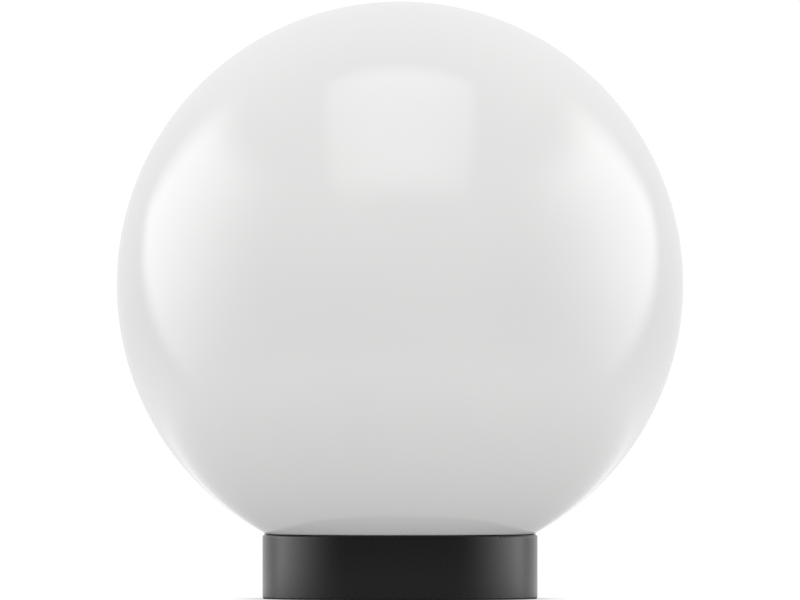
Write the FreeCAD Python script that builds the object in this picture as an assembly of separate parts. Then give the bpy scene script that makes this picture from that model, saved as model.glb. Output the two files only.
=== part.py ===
import FreeCAD, Part
import math
import os

from FreeCAD import Vector

# A garden globe light: an opal globe screws into a low black collar that holds the lampholder and lamp.
# Millimetres. Z is up, the origin is the middle of the foot, and the front is towards -Y.

# Driving dimensions
globe_diameter = 200.0
globe_wall = 2.2
globe_centre_height = 110.7
base_diameter = 97.0
base_height = 22.7
base_wall = 2.8
moving_gap = 0.3
fixed_gap = 0.05

# Foot seal, an L-shaped rubber ring that the skirt stands on
foot_seal_thickness = 0.6
foot_seal_inset = 0.2
foot_seal_upstand = 2.2
foot_seal_channel = 1.8

# Base housing
skirt_bottom = foot_seal_thickness
floor_bottom = 4.6
floor_top = 7.2
rib_bottom = 1.0
rib_thickness = 1.6
rib_count = 8
hub_radius = 12.0
hub_pad_top = 8.2
seal_step_depth = 1.2
seal_step_wall = 1.5
rim_rounding = 1.0
slot_centre_radius = 33.0
slot_radius = 2.6
slot_length = 10.0
slot_pad_wall = 2.0
bracket_boss_radius = 4.2
bracket_hole_bottom = 2.0
block_boss_radius = 3.4
block_hole_bottom = 2.4
block_pad_half_width = 2.5

# Screw thread between the globe's neck and the collar, a single ridge with a trapezium for its section
thread_pitch = 6.0
thread_turns = 1.5
thread_root_width = 2.4
thread_crest_width = 1.2
thread_height = 1.6
thread_sink = 0.4
thread_ramp_angle = 50.0
thread_ramp_length = 12.0
neck_thread_start = 10.2
collar_thread_start = 11.0
neck_radius = 43.4
neck_wall = 2.2
neck_bottom = 8.7
shoulder_height = base_height + 0.2

# Globe seal, a flat ring round the neck under the shoulder
globe_seal_outer = 46.7

# Cable grommet, with a ring in the underside that keeps water off it
grommet_angle = 135.0
grommet_centre_radius = 29.0
grommet_bore = 3.5
grommet_waist = 6.45
grommet_flange = 8.2
grommet_flange_thickness = 1.3
grommet_nozzle_top = 12.6
grommet_nozzle_foot_wall = 2.2
grommet_nozzle_tip_wall = 1.0
drip_ring_gap = 0.3
drip_ring_bottom = 2.2

# Lampholder bracket, a steel strap along X with a raised round middle
bracket_thickness = 1.5
bracket_half_width = 6.5
bracket_plate_radius = 15.5
bracket_foot_height = 8.2
bracket_plate_height = 11.2
bracket_foot_centre = 27.0
bracket_foot_end = 33.0
bracket_corner_rounding = 4.0
bracket_bend_start = 17.0
bracket_bend_end = 20.5
bracket_bend_rounding = 0.7
bracket_centre_hole = 4.0
bracket_foot_hole = 1.8
holder_screw_hole = 2.2
holder_screw_offset = 12.0
holder_screw_depth = 8.0

# Screws, each as shank radius, head radius and head height
bracket_screw = (1.45, 3.6, 2.4)
holder_screw = (1.9, 3.4, 1.9)
block_screw = (1.3, 2.4, 1.8)
holder_screw_length = 9.0
screw_tip_gap = 0.4

# A screw head's shape, as shares of its height and radius
head_edge_share = 0.6
head_top_share = 0.7
recess_arm_share = 0.6
recess_width_share = 0.12
recess_depth_share = 0.6

# Lampholder, porcelain
holder_bottom = bracket_plate_height + bracket_thickness
holder_top = 62.7
holder_neck_radius = 19.0
holder_neck_top = 33.0
holder_rim_radius = 22.0
holder_rim_bottom = 37.5
holder_foot_chamfer = 1.0
holder_lip_chamfer = 1.2
holder_mouth_flare = 1.5
holder_well_bottom = 34.2
holder_bore = 16.0
holder_seat_bore = 14.2
holder_seat_top = 41.0
chamber_back = 8.6
chamber_half_width = 8.0
chamber_top = 22.0

# Lampholder contacts: two brass strips, each with a terminal at its foot
strip_thickness = 0.5
strip_clearance = 0.2
strip_foot = 20.0
centre_strip_back = 9.0
centre_strip_sides = (-2.6, 1.6)
centre_plate_sides = (-7.2, 1.6)
shell_strip_back = 11.2
shell_strip_sides = (3.5, 6.5)
tongue_height = 34.4
tongue_bend = 5.0
tongue_tip = -3.5
tongue_tip_rise = 1.2
terminal_height = 18.0
terminal_offset = 4.7
terminal_side = 5.0
terminal_front = 15.0
terminal_back_wall = 0.6
terminal_bore = 1.0
clamp_screw_radius = 1.15
clamp_screw_head = 1.8
clamp_screw_bottom = 13.1
clamp_screw_head_height = 1.5
clamp_screw_slot_depth = 0.5
driver_slot_half_width = 0.3

# Screw shell of the lampholder
shell_radius = 14.1
shell_thickness = 0.55
shell_flange_bore = 11.0
shell_flange = 0.6
shell_top = 57.5
shell_flare_height = 1.6
shell_flare = 1.1
shell_mouth_edge = 0.7
shell_bend_rise = 0.3

# Terminal block
block_angle = 63.0
block_centre_radius = 30.0
block_pitch = 10.0
block_length = 16.0
block_width = 17.8
block_bottom = 8.2
block_height = 13.0
block_deck = 16.7
block_tower_half_width = 3.6
block_tower_rounding = 0.8
block_fixing_hole = 1.6
block_fixing_seat = 12.2
block_fixing_well = 2.6
tube_height = 13.2
tube_radius = 2.05
tube_bore = 1.25
tube_length = 14.0
tube_screw_hole = 1.05
tube_screw_offset = 4.2
tube_screw_well = 1.9
tube_screw_radius = 1.0
tube_screw_head = 1.7
tube_screw_head_height = 1.5
tube_screw_top = 19.2
tube_screw_slot_depth = 0.8

# Leads between the block and the lampholder, and their bared ends
lead_radius = 0.95
core_radius = 0.55
lead_gap = 0.1
lead_reach = 0.4
core_in_block = 6.0
core_in_terminal = 4.4
live_lead_start = 5.5
neutral_lead_start = 3.5
bend_share = 0.45

# Lamp with an E27 cap, 60 mm across and 108 mm long
lamp_bottom = 36.3
lamp_length = 108.0
lamp_radius = 30.0
contact_radius = 4.4
contact_height = 1.3
contact_flat = 2.0
insulator_bore = 2.0
insulator_foot_radius = 6.2
insulator_radius = 9.4
insulator_taper_height = 1.9
insulator_height = 3.4
cap_radius = 13.2
cap_wall = 0.4
cap_length = 27.0
cap_lip = 0.6
cap_taper_height = 2.4
cap_foot = 3.4
cap_foot_roll = 0.8
cap_inner_rise = 0.3
lamp_wall = 1.6
spigot_length = 11.0
lamp_shoulder = 0.9
lamp_waist_height = 4.0
lamp_waist_taper = 0.2
lamp_waist_wall = 1.5
lamp_waist_inner_rise = 1.0
spigot_top_rise = 2.0
lamp_flare_start = 82.0
lamp_flare_radius = 19.2
lamp_flare_end = 96.0
lamp_seam = 101.0
seam_radius = 27.0
board_height = 97.0
board_radius = 25.3
board_thickness = 1.6
board_ledge = 23.4
chip_count = 12
chip_circle = 16.1
chip_half_length = 1.5
chip_half_width = 1.4
chip_height = 0.8
dome_wall = 1.3
dome_ledge = 0.6
dome_board_gap = 0.1
driver_half_width = 8.5
driver_bottom = 55.0
driver_top = 92.0
driver_half_thickness = 0.8
capacitor = {"radius": 4.0, "x": -2.5, "low": 70.0, "high": 82.0}
coil = {"radius": 3.6, "x": 2.0, "low": 74.0, "high": 82.0}

# Worked out from the above
globe_radius = globe_diameter / 2
base_radius = base_diameter / 2
collar_bore = base_radius - base_wall
seal_step = base_height - seal_step_depth
seal_step_radius = base_radius - seal_step_wall
cap_bottom = lamp_bottom + contact_height
cap_top = lamp_bottom + cap_length
lamp_top = lamp_bottom + lamp_length
lamp_centre_height = lamp_top - lamp_radius
spigot_radius = cap_radius - cap_wall - fixed_gap


# Shapes that several pieces use

def cylinder(radius, low, high, x=0.0, y=0.0):
    return Part.makeCylinder(radius, high - low, Vector(x, y, low))


def ring(inner, outer, low, high, x=0.0, y=0.0):
    return cylinder(outer, low, high, x, y).cut(cylinder(inner, low - 1, high + 1, x, y))


def box(x_low, x_high, y_low, y_high, z_low, z_high):
    return Part.makeBox(x_high - x_low, y_high - y_low, z_high - z_low, Vector(x_low, y_low, z_low))


def rod_along_x(radius, x_low, x_high, y, z):
    return Part.makeCylinder(radius, x_high - x_low, Vector(x_low, y, z), Vector(1, 0, 0))


def rod_along_y(radius, y_low, y_high, x, z):
    return Part.makeCylinder(radius, y_high - y_low, Vector(x, y_low, z), Vector(0, 1, 0))


def turned(shape, angle):
    copy = shape.copy()
    copy.rotate(Vector(0, 0, 0), Vector(0, 0, 1), angle)
    return copy


def moved(shape, x, y, z=0.0):
    copy = shape.copy()
    copy.translate(Vector(x, y, z))
    return copy


def pair(shape):
    """The shape and its copy on the opposite side of Z."""
    return [shape, turned(shape, 180)]


def at_angle(radius, angle):
    turn = math.radians(angle)
    return radius * math.cos(turn), radius * math.sin(turn)


def single(shape):
    return shape.Solids[0] if len(shape.Solids) == 1 else shape


def joined(shapes):
    first, *others = shapes
    return single(first.fuse(others).removeSplitter())


def cut_away(solid, shapes):
    for shape in shapes:
        solid = solid.cut(shape)
    return single(solid)


def upright_face(corners, y):
    """A face in the plane at y through (x, z) corners."""
    points = [Vector(x, y, z) for x, z in corners]
    return Part.Face(Part.makePolygon([*points, points[0]]))


class Outline:
    """A closed outline of (radius, height) points, joined by lines and arcs, to be turned about Z."""

    def __init__(self, radius, height):
        self.start = self.here = Vector(radius, 0, height)
        self.edges = []

    def line(self, radius, height):
        there = Vector(radius, 0, height)
        self.edges.append(Part.LineSegment(self.here, there).toShape())
        self.here = there
        return self

    def arc(self, through, end):
        middle = Vector(through[0], 0, through[1])
        there = Vector(end[0], 0, end[1])
        self.edges.append(Part.Arc(self.here, middle, there).toShape())
        self.here = there
        return self

    def turned_solid(self):
        if not self.here.isEqual(self.start, 1e-7):
            self.line(self.start.x, self.start.z)
        face = Part.Face(Part.Wire(self.edges))
        return face.revolve(Vector(0, 0, 0), Vector(0, 0, 1), 360)


def on_circle(centre_height, radius, height):
    """The distance from Z of a circle about Z's point at centre_height, at a height."""
    return math.sqrt(radius ** 2 - (height - centre_height) ** 2)


def arc_middle(centre_height, radius, low, high):
    """The point half way along that circle between two heights."""
    angles = [math.asin((height - centre_height) / radius) for height in (low, high)]
    middle = sum(angles) / 2
    return radius * math.cos(middle), centre_height + radius * math.sin(middle)


def round_ring(solid, rounding, radius, height):
    """Rounds the circular edge about Z with this radius and height."""
    place = Vector(0, 0, height)
    found = [
        edge for edge in solid.Edges
        if isinstance(edge.Curve, Part.Circle) and edge.Curve.Center.isEqual(place, 1e-4)
        and abs(edge.Curve.Radius - radius) < 1e-4]
    return single(solid.makeFillet(rounding, found))


def thread_ridge(root, crest, start_height, start_angle):
    """A right-hand ridge from its root radius to its crest radius, sunk a little into the wall it stands on.
    Both ends ramp down to the wall."""
    outward = 1 if crest > root else -1
    sunk = root - outward * thread_sink
    slope = (thread_root_width - thread_crest_width) / thread_height
    foot = thread_root_width / 2 + slope * thread_sink / 2
    tip = thread_crest_width / 2
    section = Part.makePolygon([
        Vector(sunk, 0, -foot), Vector(crest, 0, -tip), Vector(crest, 0, tip), Vector(sunk, 0, foot),
        Vector(sunk, 0, -foot)])
    spine = Part.Wire(Part.makeHelix(thread_pitch, thread_pitch * thread_turns, (root + crest) / 2).Edges)
    ridge = spine.makePipeShell([section], True, True)
    near, far = sorted((0, outward * thread_ramp_length))
    for turns, side in ((0, -1), (thread_turns, 1)):
        ramp = box(near, far, -thread_ramp_length, thread_ramp_length, -thread_pitch / 2, thread_pitch / 2)
        ramp = turned(ramp, side * outward * thread_ramp_angle)
        ramp = moved(ramp, root, 0, turns * thread_pitch)
        ridge = ridge.cut(turned(ramp, 360 * turns))
    return moved(turned(ridge, start_angle), 0, 0, start_height)


def screw(sizes, head_bottom, tip):
    """An upright screw with a chamfered head above head_bottom, a cross recess and its point at tip."""
    shank_radius, head_radius, head_height = sizes
    top = head_bottom + head_height
    solid = (
        Outline(0, tip)
        .line(shank_radius, tip + shank_radius)
        .line(shank_radius, head_bottom)
        .line(head_radius, head_bottom)
        .line(head_radius, head_bottom + head_edge_share * head_height)
        .line(head_top_share * head_radius, top)
        .line(0, top)
        .turned_solid())
    arm = recess_arm_share * head_radius
    half_slot = recess_width_share * head_radius
    bottom = top - recess_depth_share * head_height
    cross = joined([
        box(-arm, arm, -half_slot, half_slot, bottom, top + 1),
        box(-half_slot, half_slot, -arm, arm, bottom, top + 1)])
    return single(solid.cut(cross))


# Base

def base_shell():
    """Collar, skirt and floor in one turned moulding, with the step that the globe's seal sits in."""
    shell = (
        Outline(0, floor_bottom)
        .line(collar_bore, floor_bottom)
        .line(collar_bore, skirt_bottom)
        .line(base_radius, skirt_bottom)
        .line(base_radius, base_height)
        .line(seal_step_radius, base_height)
        .line(seal_step_radius, seal_step)
        .line(collar_bore, seal_step)
        .line(collar_bore, floor_top)
        .line(0, floor_top)
        .turned_solid())
    return round_ring(shell, rim_rounding, base_radius, base_height)


def slot_prism(radius, length, low, high):
    """An upright slot, rounded at both ends, that runs along Y at the back fixing slot's place."""
    reach = length / 2 - radius
    middle = box(-radius, radius, -reach, reach, low, high)
    ends = [cylinder(radius, low, high, 0, side * reach) for side in (-1, 1)]
    return moved(joined([middle, *ends]), 0, slot_centre_radius)


def underside_ribs():
    """Rim, hub and spokes under the floor, and the raised pad over the hub."""
    bite = 0.5
    rim_outer = collar_bore - foot_seal_channel - fixed_gap
    rim = ring(rim_outer - rib_thickness, rim_outer, rib_bottom, floor_bottom)
    hub = ring(hub_radius - rib_thickness, hub_radius, rib_bottom, floor_bottom)
    pad = cylinder(hub_radius, floor_bottom, hub_pad_top)
    half = rib_thickness / 2
    rib = box(hub_radius - bite, rim_outer - bite, -half, half, rib_bottom, floor_bottom)
    step = 360 / rib_count
    return [rim, hub, pad] + [turned(rib, step * (index + 0.5)) for index in range(rib_count)]


def floor_bosses():
    """What stands on or under the floor for the bracket, the slots, the terminal block and the grommet."""
    pad_overlap = 0.5
    bracket_boss = cylinder(bracket_boss_radius, rib_bottom, bracket_foot_height, bracket_foot_centre)
    slot_pad = slot_prism(
        slot_radius + slot_pad_wall, slot_length + 2 * slot_pad_wall, skirt_bottom, floor_bottom)
    block_boss = cylinder(block_boss_radius, rib_bottom, block_bottom)
    reach = block_width / 2 - 1
    block_pad = box(
        -reach, reach, -block_pad_half_width, block_pad_half_width, floor_top - pad_overlap, block_bottom)
    inner = grommet_flange + drip_ring_gap
    drip_ring = ring(inner, inner + rib_thickness, drip_ring_bottom, floor_bottom)
    drip_ring = moved(drip_ring, *at_angle(grommet_centre_radius, grommet_angle))
    return [*pair(bracket_boss), *pair(slot_pad), on_block(block_boss), on_block(block_pad), drip_ring]


def floor_holes():
    above = 1.0
    grommet_x, grommet_y = at_angle(grommet_centre_radius, grommet_angle)
    grommet_hole = cylinder(grommet_waist + fixed_gap, 0, floor_top + above, grommet_x, grommet_y)
    block_hole = cylinder(block_screw[0] + fixed_gap, block_hole_bottom, block_bottom + above)
    bracket_hole = cylinder(
        bracket_screw[0] + fixed_gap, bracket_hole_bottom, bracket_foot_height + above, bracket_foot_centre)
    slot = slot_prism(slot_radius, slot_length, 0, floor_top + above)
    return [grommet_hole, on_block(block_hole), *pair(bracket_hole), *pair(slot)]


def neck_to_collar_offset():
    """How far the collar's ridge lies above the neck's, so that the loaded flanks are moving_gap apart."""
    overlap_middle = (neck_radius + thread_height + collar_bore - thread_height) / 2
    slope = (thread_root_width - thread_crest_width) / 2 / thread_height
    half_width = thread_crest_width / 2 + slope * (neck_radius + thread_height - overlap_middle)
    return 2 * half_width + moving_gap * math.hypot(1, slope)


def base_housing():
    start_angle = 360 * (collar_thread_start - neck_thread_start - neck_to_collar_offset()) / thread_pitch
    ridge = thread_ridge(collar_bore, collar_bore - thread_height, collar_thread_start, start_angle)
    plain = joined([base_shell(), *underside_ribs(), *floor_bosses()])
    return cut_away(joined([plain, ridge]), floor_holes())


def foot_seal():
    inner = collar_bore - foot_seal_channel
    outer = collar_bore - fixed_gap
    top = foot_seal_thickness + foot_seal_upstand
    return (
        Outline(inner, 0)
        .line(base_radius - foot_seal_inset, 0)
        .line(base_radius - foot_seal_inset, foot_seal_thickness)
        .line(outer, foot_seal_thickness)
        .line(outer, top)
        .line(inner, top)
        .turned_solid())


def cable_grommet():
    """A rubber bush with a flange on either side of the floor and a tapered nozzle."""
    flange_bevel = 0.6
    nozzle_foot = floor_top + grommet_flange_thickness
    solid = (
        Outline(grommet_bore, floor_bottom - grommet_flange_thickness)
        .line(grommet_flange, floor_bottom - grommet_flange_thickness)
        .line(grommet_flange, floor_bottom)
        .line(grommet_waist, floor_bottom)
        .line(grommet_waist, floor_top)
        .line(grommet_flange, floor_top)
        .line(grommet_flange - flange_bevel, nozzle_foot)
        .line(grommet_bore + grommet_nozzle_foot_wall, nozzle_foot)
        .line(grommet_bore + grommet_nozzle_tip_wall, grommet_nozzle_top)
        .line(grommet_bore, grommet_nozzle_top)
        .turned_solid())
    return moved(solid, *at_angle(grommet_centre_radius, grommet_angle))


# Lampholder

def bracket_strap():
    """The bent strap, with its bends and its feet's corners rounded."""
    low = bracket_foot_height
    high = bracket_plate_height
    lower_side = [
        (-bracket_foot_end, low), (-bracket_bend_end, low), (-bracket_bend_start, high),
        (bracket_bend_start, high), (bracket_bend_end, low), (bracket_foot_end, low)]
    upper_side = [(x, z + bracket_thickness) for x, z in reversed(lower_side)]
    face = upright_face(lower_side + upper_side, -bracket_half_width)
    strap = face.extrude(Vector(0, 2 * bracket_half_width, 0))

    def edges_of(length, at_feet):
        found = [edge for edge in strap.Edges if abs(edge.Length - length) < 1e-6]
        return [edge for edge in found if (abs(edge.CenterOfMass.x) > bracket_foot_end - 1) == at_feet]

    strap = strap.makeFillet(bracket_bend_rounding, edges_of(2 * bracket_half_width, False))
    return strap.makeFillet(bracket_corner_rounding, edges_of(bracket_thickness, True))


def lampholder_bracket():
    """A strap with two feet, bent up to a raised plate that the porcelain stands on."""
    low = bracket_foot_height - 1
    high = bracket_plate_height + bracket_thickness
    plate = cylinder(bracket_plate_radius, bracket_plate_height, high)
    holes = [cylinder(bracket_centre_hole, low, high + 1)]
    holes += pair(cylinder(bracket_foot_hole, low, high + 1, bracket_foot_centre))
    holes += pair(cylinder(holder_screw_hole, low, high + 1, 0, holder_screw_offset))
    return cut_away(joined([bracket_strap(), plate]), holes)


def bracket_screws():
    tip = bracket_hole_bottom + screw_tip_gap
    one = screw(bracket_screw, bracket_foot_height + bracket_thickness, tip)
    return pair(moved(one, bracket_foot_centre, 0))


def holder_screws():
    """Two screws through the plate from below, with their heads down."""
    one = screw(holder_screw, 0, -holder_screw_length)
    one.rotate(Vector(0, 0, 0), Vector(1, 0, 0), 180)
    return pair(moved(one, 0, holder_screw_offset, bracket_plate_height))


def strip_slots():
    """The two upright passages through the porcelain for the contact strips."""
    passages = []
    for back, sides in ((centre_strip_back, centre_strip_sides), (shell_strip_back, shell_strip_sides)):
        passages.append(box(
            back - strip_clearance, back + strip_thickness + strip_clearance,
            sides[0] - strip_clearance, sides[1] + strip_clearance, chamber_top - 1, holder_well_bottom + 1))
    return passages


def lampholder_body():
    """A porcelain cup on a solid foot, with a wiring chamber open towards +X and downwards."""
    cup = (
        Outline(0, holder_bottom)
        .line(holder_neck_radius - holder_foot_chamfer, holder_bottom)
        .line(holder_neck_radius, holder_bottom + holder_foot_chamfer)
        .line(holder_neck_radius, holder_neck_top)
        .line(holder_rim_radius, holder_rim_bottom)
        .line(holder_rim_radius, holder_top - holder_lip_chamfer)
        .line(holder_rim_radius - holder_lip_chamfer, holder_top)
        .line(holder_bore + holder_mouth_flare, holder_top)
        .line(holder_bore, holder_top - holder_mouth_flare)
        .line(holder_bore, holder_seat_top)
        .line(holder_seat_bore, holder_seat_top)
        .line(holder_seat_bore, holder_well_bottom)
        .line(0, holder_well_bottom)
        .turned_solid())
    below = holder_bottom - 1
    half = chamber_half_width
    chamber = box(chamber_back, holder_rim_radius, -half, half, below, chamber_top)
    screw_hole = cylinder(
        holder_screw[0] + fixed_gap, below, holder_bottom + holder_screw_depth, 0, holder_screw_offset)
    return cut_away(cup, [chamber, *strip_slots(), *pair(screw_hole)])


def lampholder_shell():
    """The screw shell that takes the lamp's cap, with a flange to sit on and a flared mouth."""
    inner = shell_radius - shell_thickness
    bottom = holder_well_bottom
    return (
        Outline(shell_flange_bore, bottom)
        .line(shell_radius, bottom)
        .line(shell_radius, shell_top - shell_flare_height)
        .line(shell_radius + shell_flare, shell_top)
        .line(shell_radius + shell_flare - shell_mouth_edge, shell_top)
        .line(inner, shell_top - shell_flare_height + shell_bend_rise)
        .line(inner, bottom + shell_flange)
        .line(shell_flange_bore, bottom + shell_flange)
        .turned_solid())


def terminal_pillar(side):
    """A brass cube at a strip's foot, bored along X for the wire and from below for its clamp screw."""
    y = side * terminal_offset
    half = terminal_side / 2
    back = terminal_front - terminal_side
    low = terminal_height - half
    cube = box(back, terminal_front, y - half, y + half, low, terminal_height + half)
    wire_hole = rod_along_x(terminal_bore, back + terminal_back_wall, terminal_front + 1, y, terminal_height)
    screw_hole = cylinder(clamp_screw_radius + fixed_gap, low - 1, terminal_height)
    return cut_away(cube, [wire_hole, moved(screw_hole, terminal_front - half, y)])


def centre_contact():
    """Strip from the front terminal up to a springy tongue under the lamp's centre contact."""
    back = centre_strip_back
    front = back + strip_thickness
    low = terminal_height - terminal_side / 2
    high = terminal_height + terminal_side / 2
    plate = box(back, front, *centre_plate_sides, low, high)
    bite = 0.1
    shelf_end = terminal_front - terminal_side
    shelf_side = -terminal_offset + terminal_side / 2
    shelf = box(front - bite, shelf_end + bite, centre_plate_sides[0], shelf_side, low, high)
    riser = box(back, front, *centre_strip_sides, strip_foot, tongue_height)
    root = tongue_height - 1
    tip_top = tongue_height + strip_thickness + tongue_tip_rise
    corners = [
        (front, root), (front, tongue_height + strip_thickness),
        (tongue_bend, tongue_height + strip_thickness),
        (tongue_tip, tip_top), (tongue_tip, tip_top - strip_thickness), (tongue_bend, tongue_height),
        (back, tongue_height), (back, root)]
    width = centre_strip_sides[1] - centre_strip_sides[0]
    tongue = upright_face(corners, centre_strip_sides[0]).extrude(Vector(0, width, 0))
    return joined([plate, shelf, riser, tongue, terminal_pillar(-1)])


def shell_contact():
    """Strip from the other terminal up to the screw shell's flange."""
    front = shell_strip_back + strip_thickness
    riser = box(shell_strip_back, front, *shell_strip_sides, strip_foot, holder_well_bottom)
    return joined([riser, terminal_pillar(1)])


def cheese_head_screw(radius, head_radius, length, head_height, slot_depth):
    """A small screw that stands on its tip at Z's zero, with a driver slot along X across its head."""
    neck = length - head_height
    shank = cylinder(radius, 0, neck)
    head = cylinder(head_radius, neck, length)
    reach = head_radius + 1
    half = driver_slot_half_width
    return joined([shank, head.cut(box(-reach, reach, -half, half, length - slot_depth, length + 1))])


def terminal_clamp_screws():
    """Two screws that clamp the leads' ends in the pillars from below, heads down."""
    tip = terminal_height - core_radius - fixed_gap
    one = cheese_head_screw(
        clamp_screw_radius, clamp_screw_head, tip - clamp_screw_bottom, clamp_screw_head_height,
        clamp_screw_slot_depth)
    one.rotate(Vector(0, 0, 0), Vector(1, 0, 0), 180)
    x = terminal_front - terminal_side / 2
    return [moved(one, x, side * terminal_offset, tip) for side in (-1, 1)]


# Terminal block and wiring

def on_block(shape):
    """Places a shape that is drawn about the block's middle, with its wires along Y, in the base."""
    return turned(moved(shape, block_centre_radius, 0), block_angle)


def tube_screw_places():
    x = block_pitch / 2
    return [(side * x, end * tube_screw_offset) for side in (-1, 1) for end in (-1, 1)]


def terminal_block():
    """A two-way block: a low deck, two towers over the brass tubes, and a well for its fixing screw."""
    top = block_bottom + block_height
    half = block_length / 2
    reach = block_tower_half_width
    tower = moved(box(-reach, reach, -half, half, block_bottom, top), block_pitch / 2, 0)
    uprights = [edge for edge in tower.Edges if abs(edge.Length - block_height) < 1e-6]
    tower = tower.makeFillet(block_tower_rounding, uprights)
    deck = box(-block_width / 2, block_width / 2, -half, half, block_bottom, block_deck)
    holes = [cylinder(block_fixing_hole, 0, top), cylinder(block_fixing_well, block_fixing_seat, top)]
    holes += pair(rod_along_y(tube_radius + fixed_gap, -half - 1, half + 1, block_pitch / 2, tube_height))
    holes += [cylinder(tube_screw_well, tube_height, top + 1, x, y) for x, y in tube_screw_places()]
    return on_block(cut_away(joined([deck, *pair(tower)]), holes))


def terminal_clamps():
    """Two brass tubes, each with a screw hole near either end."""
    half = tube_length / 2
    x = block_pitch / 2
    tube = rod_along_y(tube_radius, -half, half, x, tube_height)
    holes = [rod_along_y(tube_bore, -half - 1, half + 1, x, tube_height)]
    above = tube_height + tube_radius + 1
    holes += [cylinder(tube_screw_hole, tube_height, above, x, end * tube_screw_offset) for end in (-1, 1)]
    return [on_block(one) for one in pair(cut_away(tube, holes))]


def terminal_block_screws():
    """Four small slotted screws, two to a tube."""
    low = tube_height + core_radius + fixed_gap
    length = tube_screw_top - low
    one = cheese_head_screw(
        tube_screw_radius, tube_screw_head, length, tube_screw_head_height, tube_screw_slot_depth)
    return [on_block(moved(turned(one, 90), x, y, low)) for x, y in tube_screw_places()]


def block_fixing_screw():
    return on_block(screw(block_screw, block_fixing_seat, block_hole_bottom + screw_tip_gap))


def routed_tube(points, radius, name):
    """A tube along straight runs joined by tangent arcs, each as large as its two runs allow."""
    points = [Vector(*point) for point in points]
    edges = []
    radii = []
    here = points[0]
    for before, corner, after in zip(points, points[1:], points[2:]):
        incoming = corner - before
        outgoing = after - corner
        turn = incoming.getAngle(outgoing)
        setback = bend_share * min(incoming.Length, outgoing.Length)
        radii.append(setback / math.tan(turn / 2))
        start = corner - incoming.normalize() * setback
        end = corner + outgoing.normalize() * setback
        inward = ((start + end) * 0.5 - corner).normalize()
        to_middle = radii[-1] / math.cos(turn / 2) - radii[-1]
        edges.append(Part.LineSegment(here, start).toShape())
        edges.append(Part.Arc(start, corner + inward * to_middle, end).toShape())
        here = end
    edges.append(Part.LineSegment(here, points[-1]).toShape())
    spine = Part.Wire(edges)
    section = Part.Wire(Part.makeCircle(radius, points[0], points[1] - points[0]))
    solid = spine.makePipeShell([section], True, False)
    share = solid.Volume / (math.pi * radius ** 2 * spine.Length)
    bends = [round(r, 1) for r in radii]
    print(f"{name}: length {spine.Length:.1f}, radii {bends}, volume share {share:.4f}")
    return solid


def block_mouth(side):
    """Where a lead leaves the block, and the way it points."""
    along = Vector(*at_angle(1, block_angle), 0)
    across = Vector(*at_angle(1, block_angle - 90), 0)
    point = along * (block_centre_radius + side * block_pitch / 2) + across * (block_length / 2 + lead_gap)
    return point + Vector(0, 0, tube_height), across


def live_lead():
    """The outer lead, in a wide loop to the centre contact's terminal."""
    mouth, way = block_mouth(1)
    end = (terminal_front + lead_reach, -terminal_offset, terminal_height)
    route = [
        mouth, mouth + way * live_lead_start,
        (32.6, 20.6, 13.8), (35.6, 14.4, 14.8), (35.4, 7.4, 15.9),
        (32.0, 1.0, 16.9), (26.6, -3.2, 17.7), (21.0, -terminal_offset, terminal_height), end]
    return routed_tube(route, lead_radius, "live_lead")


def neutral_lead():
    """The inner lead, in a tight loop to the screw shell's terminal."""
    mouth, way = block_mouth(-1)
    end = (terminal_front + lead_reach, terminal_offset, terminal_height)
    route = [
        mouth, mouth + way * neutral_lead_start, (24.2, 14.0, 13.9), (24.7, 10.1, 15.3), (22.9, 6.7, 17.0),
        (19.2, terminal_offset, terminal_height), end]
    return routed_tube(route, lead_radius, "neutral_lead")


def lead_ends():
    """The bared ends of both leads, two in the block's tubes and two in the lampholder's terminals."""
    end = terminal_front + lead_reach
    found = []
    for side in (-1, 1):
        y = side * terminal_offset
        found.append(rod_along_x(core_radius, end - core_in_terminal, end, y, terminal_height))
        mouth, way = block_mouth(side)
        found.append(Part.makeCylinder(core_radius, core_in_block, mouth, way * -1))
    return found


# Globe

def globe():
    """An opal ball with a flat shoulder and a threaded neck, in one moulding."""
    inner = globe_radius - globe_wall
    neck_inner = neck_radius - neck_wall
    inner_bottom = globe_centre_height - math.sqrt(inner ** 2 - neck_inner ** 2)
    top = globe_centre_height + globe_radius
    ball = (
        Outline(0, top)
        .arc(
            arc_middle(globe_centre_height, globe_radius, shoulder_height, top),
            (on_circle(globe_centre_height, globe_radius, shoulder_height), shoulder_height))
        .line(neck_radius, shoulder_height)
        .line(neck_radius, neck_bottom)
        .line(neck_inner, neck_bottom)
        .line(neck_inner, inner_bottom)
        .arc(arc_middle(globe_centre_height, inner, inner_bottom, top - globe_wall), (0, top - globe_wall))
        .turned_solid())
    ridge = thread_ridge(neck_radius, neck_radius + thread_height, neck_thread_start, 0.0)
    return joined([ball, ridge])


def globe_seal():
    return ring(neck_radius + moving_gap, globe_seal_outer, seal_step, shoulder_height)


# Lamp

def lamp_contact():
    """The solder button in the middle of the cap's foot."""
    edge = 0.1
    return (
        Outline(0, lamp_bottom)
        .line(contact_flat, lamp_bottom)
        .line(contact_radius, cap_bottom - edge)
        .line(contact_radius, cap_bottom)
        .line(0, cap_bottom)
        .turned_solid())


def lamp_insulator():
    return (
        Outline(insulator_bore, cap_bottom)
        .line(insulator_foot_radius, cap_bottom)
        .line(insulator_radius, cap_bottom + insulator_taper_height)
        .line(insulator_radius, cap_bottom + insulator_height)
        .line(insulator_bore, cap_bottom + insulator_height)
        .turned_solid())


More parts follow.
